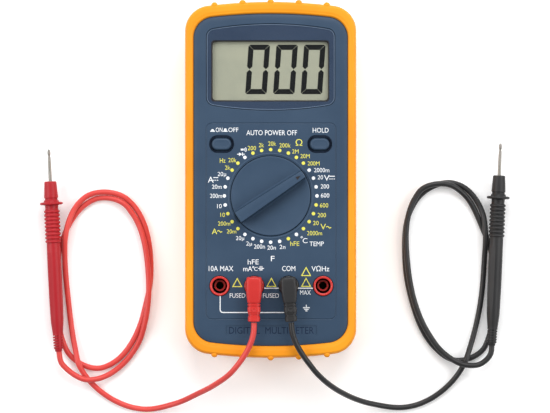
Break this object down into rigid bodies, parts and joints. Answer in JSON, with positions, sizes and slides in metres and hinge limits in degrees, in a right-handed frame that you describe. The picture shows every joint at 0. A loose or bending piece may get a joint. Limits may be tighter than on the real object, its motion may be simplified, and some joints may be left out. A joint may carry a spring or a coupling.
{
  "type": "digital multimeter",
  "caption": "Handheld digital multimeter in a rubber holster with rotary range switch, display, push buttons, input jacks and plug-in test leads.",
  "frame": {"origin": "centre of the holster's footprint, on the plane its back rests on, without the test leads", "axes": "+X to the right seen from the front, +Y from the jacks towards the display, +Z out of the front face"},
  "size_m": [0.2552, 0.2213, 0.0408],
  "materials": {
    "orange_rubber": "moulded matt rubber with a soft sheen",
    "slate_blue_case": "fine-textured moulded plastic",
    "clear_window": "clear glossy lens with a dark printed border",
    "lcd_glass": "grey-green reflective display",
    "black_plastic": "satin black plastic",
    "red_plastic": "satin red plastic",
    "red_cord": "soft red insulation",
    "black_cord": "soft black insulation",
    "nickel_pins": "nickel-plated brass",
    "brass_contacts": "bare brass",
    "fuse_ceramic": "glazed ceramic",
    "green_board": "solder-masked laminate",
    "cell_jacket": "printed metal jacket",
    "grey_elastomer": "layered conductive elastomer",
    "steel_small": "bright steel"
  },
  "bodies": {
    "meter": {"battery_9v": "cell_jacket", "battery_cover": "slate_blue_case", "battery_cover_screw": "steel_small", "battery_snap": "black_plastic", "battery_wire_black": "black_cord", "battery_wire_red": "red_cord", "buzzer": "black_plastic", "capacitor": "cell_jacket", "case_screw_1": "steel_small", "case_screw_2": "steel_small", "case_screw_3": "steel_small", "case_screw_4": "steel_small", "display_window": "clear_window", "front_case": "slate_blue_case", "fuse_10a": "fuse_ceramic", "fuse_200ma": "fuse_ceramic", "fuse_holder_10a": "brass_contacts", "fuse_holder_200ma": "brass_contacts", "hold_spring": "steel_small", "hold_switch": "black_plastic", "holster": "orange_rubber", "jack_10a": "red_plastic", "jack_com": "black_plastic", "jack_ma": "red_plastic", "jack_volt": "red_plastic", "lcd_frame": "black_plastic", "lcd_panel": "lcd_glass", "main_board": "green_board", "main_chip": "black_plastic", "power_spring": "steel_small", "power_switch": "black_plastic", "rear_case": "slate_blue_case", "shunt_wire": "brass_contacts", "socket_10a": "brass_contacts", "socket_com": "brass_contacts", "socket_ma": "brass_contacts", "socket_volt": "brass_contacts", "trimmer": "red_plastic", "zebra_strip": "grey_elastomer"},
    "function_dial": {"detent_ball_left": "steel_small", "detent_ball_right": "steel_small", "detent_spring_left": "steel_small", "detent_spring_right": "steel_small", "dial_contact_left": "brass_contacts", "dial_contact_right": "brass_contacts", "function_dial": "slate_blue_case"},
    "power_button": {"power_button": "slate_blue_case"},
    "hold_button": {"hold_button": "slate_blue_case"},
    "tilt_stand": {"tilt_stand": "orange_rubber"},
    "red_lead": {"red_plug_housing": "red_plastic", "red_plug_pin": "nickel_pins", "red_lead_wire": "red_cord", "red_probe_handle": "red_plastic", "red_probe_tip": "nickel_pins"},
    "black_lead": {"black_plug_housing": "black_plastic", "black_plug_pin": "nickel_pins", "black_lead_wire": "black_cord", "black_probe_handle": "black_plastic", "black_probe_tip": "nickel_pins"}
  },
  "joints": [
    {"name": "function_dial_turn", "type": "hinge", "parent": "meter", "child": "function_dial", "pos_m": [0, -0.0085, 0.03], "axis": [0, 0, 1], "continuous": true},
    {"name": "power_button_press", "type": "slide", "parent": "meter", "child": "power_button", "axis": [0, 0, -1], "range_m": [0, 0.0015], "stiffness_N_per_m": 800, "springref_m": -0.0004, "deforming": ["power_spring"]},
    {"name": "hold_button_press", "type": "slide", "parent": "meter", "child": "hold_button", "axis": [0, 0, -1], "range_m": [0, 0.0015], "stiffness_N_per_m": 800, "springref_m": -0.0004, "deforming": ["hold_spring"]},
    {"name": "tilt_stand_swing", "type": "hinge", "parent": "meter", "child": "tilt_stand", "pos_m": [0, 0.04, 0.00155], "axis": [1, 0, 0], "range_deg": [0, 65]},
    {"name": "red_lead_unplug", "type": "slide", "parent": "meter", "child": "red_lead", "axis": [0, 0, 1], "range_m": [0, 0.025]},
    {"name": "black_lead_unplug", "type": "slide", "parent": "meter", "child": "black_lead", "axis": [0, 0, 1], "range_m": [0, 0.025]}
  ]
}
